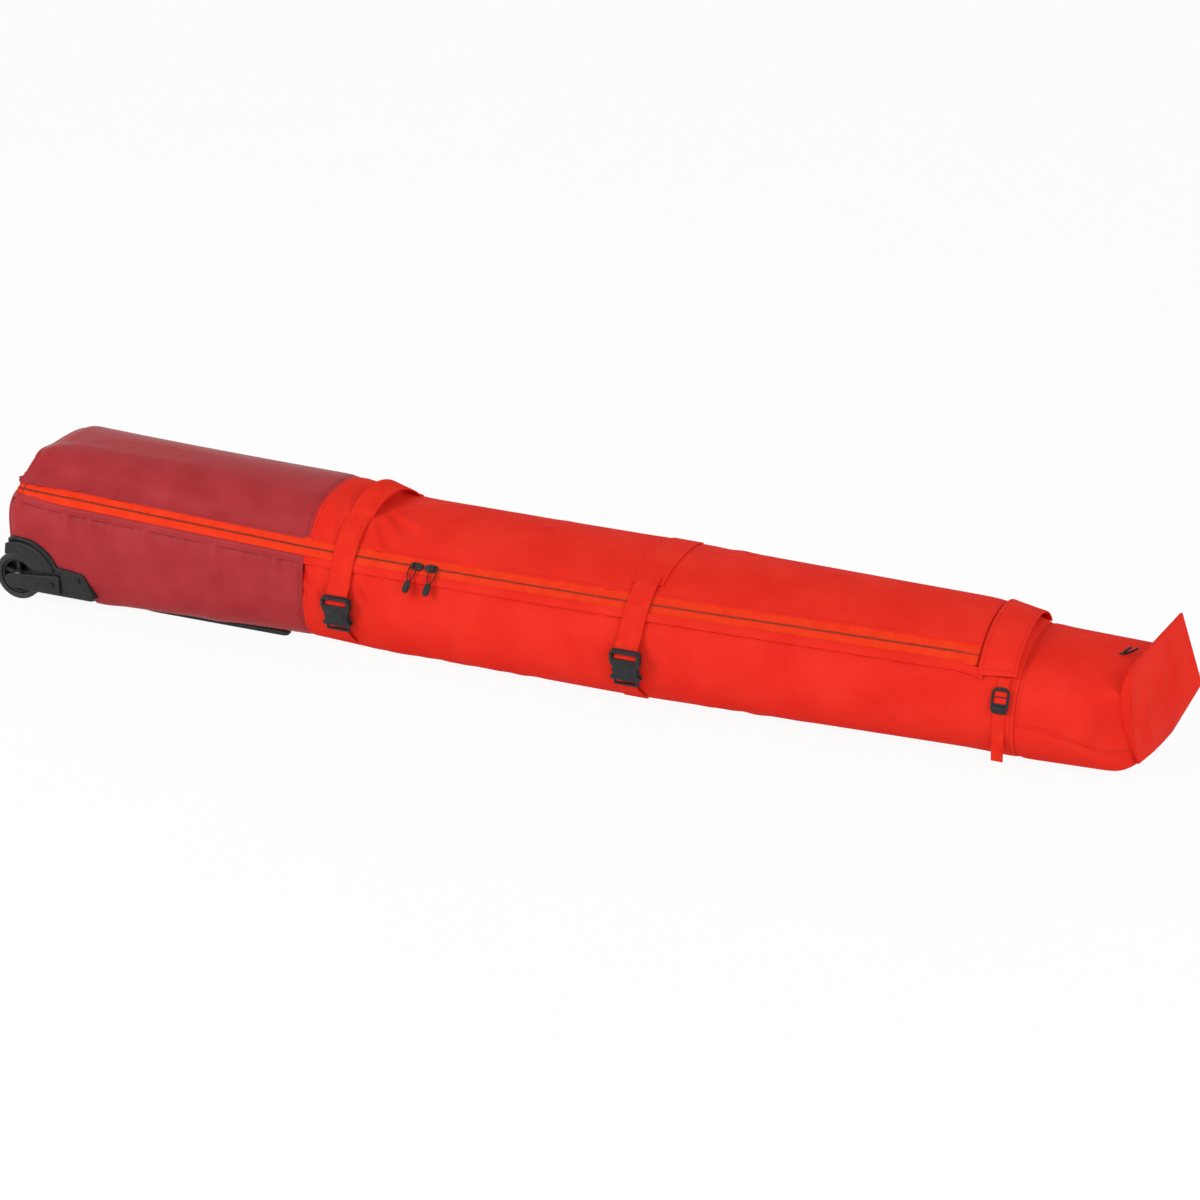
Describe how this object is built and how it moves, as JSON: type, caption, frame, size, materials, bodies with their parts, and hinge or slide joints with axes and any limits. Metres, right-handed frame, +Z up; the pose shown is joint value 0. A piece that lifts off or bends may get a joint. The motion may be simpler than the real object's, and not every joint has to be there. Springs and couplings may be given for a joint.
{
  "type": "wheeled ski bag",
  "caption": "Long padded ski bag lying on its back, with a zipped hinged lid, buckled compression straps, grab handles, a folding tail panel, skids and wheels.",
  "frame": {"origin": "on the floor, on the underside of the front floor panel, under the middle of the bag's sewn length", "axes": "+X from the wheels to the tail, +Y across the bag from the zip side to the hinge side, +Z up"},
  "size_m": [2.1265, 0.3877, 0.2709],
  "materials": {
    "tarpaulin": "coated dark red tarpaulin with a soft sheen",
    "nylon": "bright red woven nylon",
    "zip_tape": "orange-red woven zip tape",
    "webbing": "red woven webbing",
    "plastic": "black moulded plastic",
    "tyre": "black moulded tyre",
    "steel": "bright steel",
    "board": "grey stiffener board"
  },
  "bodies": {
    "base": {"rear_floor": "tarpaulin", "rear_side_near": "tarpaulin", "rear_side_far": "tarpaulin", "rear_end_wall": "tarpaulin", "rear_cap": "tarpaulin", "front_floor": "nylon", "front_side_near": "nylon", "front_side_far": "nylon", "yoke": "nylon", "tail_upper": "nylon", "tail_lower": "nylon", "zip_tape_lower": "zip_tape", "wheel_housing_near": "plastic", "wheel_housing_far": "plastic", "axle_cover_near": "plastic", "axle_cover_far": "plastic", "wheel_axle_near": "steel", "wheel_axle_far": "steel", "screw_plate_near": "steel", "screw_plate_far": "steel", "screw_cover_near": "steel", "screw_cover_far": "steel", "skid_near": "plastic", "skid_far": "plastic", "buckle_male_1": "plastic", "buckle_male_2": "plastic", "buckle_tab_1": "webbing", "buckle_tab_2": "webbing", "handle_band": "nylon", "ladder_lock": "plastic", "adjuster_web": "webbing", "tail_hook": "plastic", "floor_board": "board"},
    "lid": {"lid_rear": "tarpaulin", "lid_front": "nylon", "lid_end_wall": "tarpaulin", "zip_tape_upper": "zip_tape", "strap_1": "webbing", "strap_2": "webbing", "lid_band": "nylon", "grab_handle": "webbing", "buckle_female_1": "plastic", "buckle_female_2": "plastic"},
    "wheel_near": {"tyre_near": "tyre", "wheel_hub_near": "plastic", "wheel_bearing_near": "steel"},
    "wheel_far": {"tyre_far": "tyre", "wheel_hub_far": "plastic", "wheel_bearing_far": "steel"},
    "slider_rear": {"slider_rear": "plastic"},
    "slider_front": {"slider_front": "plastic"},
    "pull_rear": {"pull_rear": "plastic"},
    "pull_front": {"pull_front": "plastic"},
    "arm_1_rear": {"buckle_arm_1_rear": "plastic"},
    "arm_1_front": {"buckle_arm_1_front": "plastic"},
    "arm_2_rear": {"buckle_arm_2_rear": "plastic"},
    "arm_2_front": {"buckle_arm_2_front": "plastic"},
    "tail_flap": {"tail_flap": "nylon"}
  },
  "joints": [
    {"name": "lid_hinge", "type": "hinge", "parent": "base", "child": "lid", "pos_m": [0, 0.183, 0.131], "axis": [-1, 0, 0], "range_deg": [0, 100]},
    {"name": "wheel_near_spin", "type": "hinge", "parent": "base", "child": "wheel_near", "pos_m": [-1.0135, -0.149, 0.0449], "axis": [0, 1, 0], "continuous": true},
    {"name": "wheel_far_spin", "type": "hinge", "parent": "base", "child": "wheel_far", "pos_m": [-1.0135, 0.149, 0.0449], "axis": [0, 1, 0], "continuous": true},
    {"name": "slider_rear_slide", "type": "slide", "parent": "base", "child": "slider_rear", "axis": [-0.9999, 0.0101, -0.0091], "range_m": [0, 0.078]},
    {"name": "slider_front_slide", "type": "slide", "parent": "base", "child": "slider_front", "axis": [0.9999, -0.0101, 0.0091], "range_m": [0, 0.338]},
    {"name": "pull_rear_swing", "type": "hinge", "parent": "slider_rear", "child": "pull_rear", "pos_m": [-0.23056, -0.13514, 0.18443], "axis": [-0.9999, 0.0101, -0.0091], "range_deg": [0, 110]},
    {"name": "pull_front_swing", "type": "hinge", "parent": "slider_front", "child": "pull_front", "pos_m": [-0.19256, -0.13552, 0.18477], "axis": [-0.9999, 0.0101, -0.0091], "range_deg": [0, 110]},
    {"name": "arm_1_rear_press", "type": "hinge", "parent": "base", "child": "arm_1_rear", "pos_m": [-0.3805, -0.16925, 0.07016], "axis": [0, 0.9901, 0.1401], "range_deg": [0, 6], "stiffness_Nm_per_rad": 0.4},
    {"name": "arm_1_front_press", "type": "hinge", "parent": "base", "child": "arm_1_front", "pos_m": [-0.3425, -0.16925, 0.07016], "axis": [0, -0.9901, -0.1401], "range_deg": [0, 6], "stiffness_Nm_per_rad": 0.4},
    {"name": "arm_2_rear_press", "type": "hinge", "parent": "base", "child": "arm_2_rear", "pos_m": [0.1625, -0.19054, 0.07529], "axis": [0, 0.9929, 0.1189], "range_deg": [0, 6], "stiffness_Nm_per_rad": 0.4},
    {"name": "arm_2_front_press", "type": "hinge", "parent": "base", "child": "arm_2_front", "pos_m": [0.2005, -0.19054, 0.07529], "axis": [0, -0.9929, -0.1189], "range_deg": [0, 6], "stiffness_Nm_per_rad": 0.4},
    {"name": "tail_flap_fold", "type": "hinge", "parent": "base", "child": "tail_flap", "pos_m": [1.01853, -0.00007, 0.00804], "axis": [0.1219, 0.9925, 0], "range_deg": [0, 75]}
  ]
}
